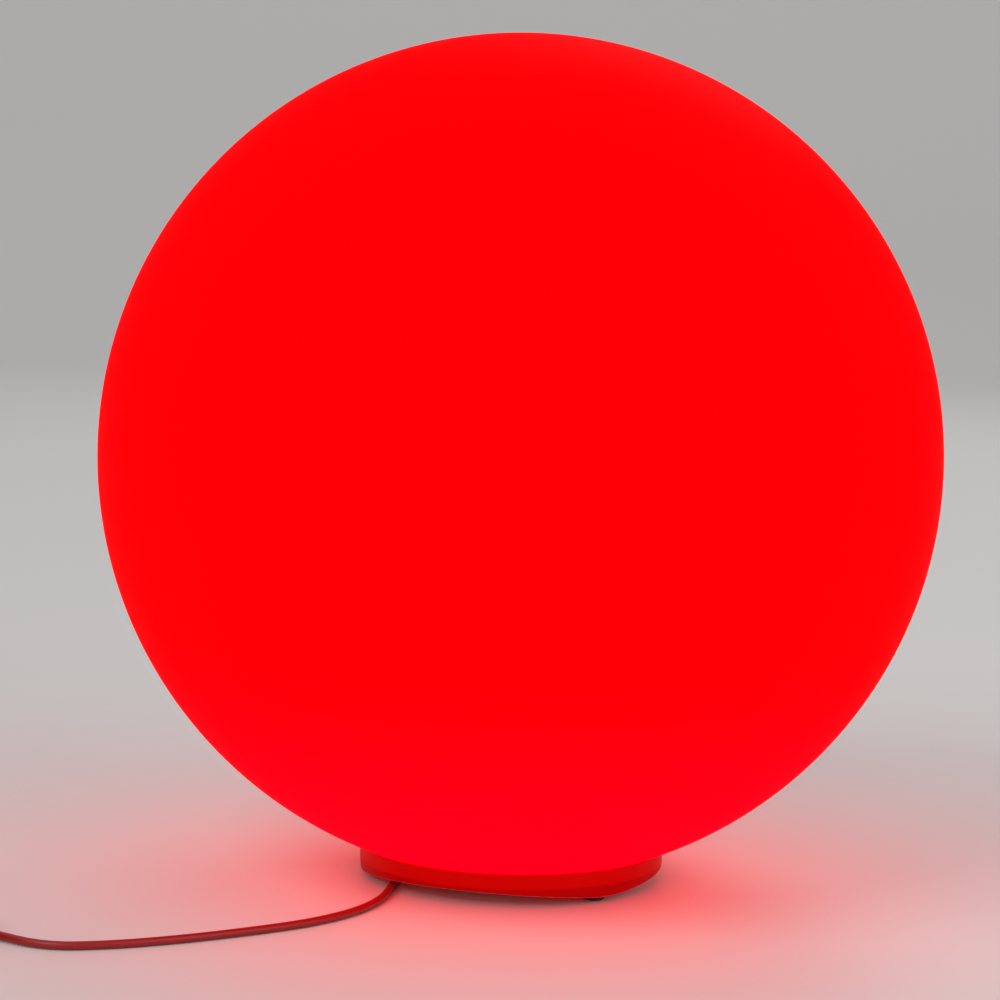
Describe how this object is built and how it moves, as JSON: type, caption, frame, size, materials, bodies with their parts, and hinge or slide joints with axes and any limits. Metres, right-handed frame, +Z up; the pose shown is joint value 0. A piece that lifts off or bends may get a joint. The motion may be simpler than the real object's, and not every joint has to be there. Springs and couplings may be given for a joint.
{
  "type": "garden globe light",
  "caption": "Glowing plastic ball on a low round three-footed base for the garden, with a bayonet neck, an LED engine inside, a mode button underneath and a thin low-voltage cord.",
  "frame": {"origin": "centre of the light's footprint on the ground, cord left out", "axes": "+Z up along the globe's axis, -Y towards the viewer of the picture, the cord leaves towards -X"},
  "size_m": [0.3685, 0.3, 0.3015],
  "materials": {
    "glowing_plastic": "satin translucent",
    "base_plastic": "satin",
    "cover_plastic": "satin",
    "seal_rubber": "matt",
    "silicone": "matt",
    "steel": "plain",
    "spun_aluminium": "turned",
    "board_green": "solder mask",
    "board_white": "solder mask",
    "black_plastic": "satin",
    "led_case": "gloss",
    "clear_plastic": "clear",
    "cord_sheath": "satin",
    "ribbon": "satin",
    "capacitor_sleeve": "gloss",
    "button_plastic": "satin",
    "terminal_plastic": "satin",
    "contact_metal": "plated"
  },
  "bodies": {
    "base": {"base_cup": "base_plastic", "neck_seal": "silicone", "foot_pad_1": "seal_rubber", "foot_pad_2": "seal_rubber", "foot_pad_3": "seal_rubber", "bottom_cover": "cover_plastic", "cover_gasket": "silicone", "cover_screws": "steel", "button_seal": "silicone", "control_board": "board_green", "board_screws": "steel", "terminal_block": "terminal_plastic", "control_chip": "black_plastic", "driver_transistors": "black_plastic", "capacitor": "capacitor_sleeve", "choke": "black_plastic", "tact_switch": "black_plastic", "wire_grommet": "seal_rubber", "heat_spreader": "spun_aluminium", "led_board": "board_white", "led_chips": "led_case", "led_board_screws": "steel", "led_leads": "ribbon", "dome_gasket": "silicone", "led_dome": "clear_plastic", "dome_screws": "steel", "gland_washer": "seal_rubber", "gland_body": "black_plastic", "gland_cap": "black_plastic", "gland_nut": "black_plastic", "inner_lead": "cord_sheath", "cord_lead": "cord_sheath", "cord_coil": "cord_sheath", "cord_tail": "cord_sheath", "cord_tie": "black_plastic", "connector_boot": "black_plastic", "connector_body": "black_plastic", "connector_pins": "contact_metal", "connector_seal": "silicone"},
    "globe": {"globe_shell": "glowing_plastic"},
    "mode_button": {"mode_button": "button_plastic", "button_clip": "steel", "switch_plunger": "button_plastic"},
    "coupling_ring": {"connector_ring": "black_plastic"}
  },
  "joints": [
    {"name": "globe_twist", "type": "hinge", "parent": "base", "child": "globe", "pos_m": [0, 0, 0.0118], "axis": [0, 0, 1], "range_deg": [0, 30]},
    {"name": "button_press", "type": "slide", "parent": "base", "child": "mode_button", "axis": [0, 0, 1], "range_m": [0, 0.0006], "stiffness_N_per_m": 500},
    {"name": "ring_spin", "type": "hinge", "parent": "base", "child": "coupling_ring", "pos_m": [-0.204, -0.041, 0.0072], "axis": [0, 1, 0], "continuous": true}
  ]
}
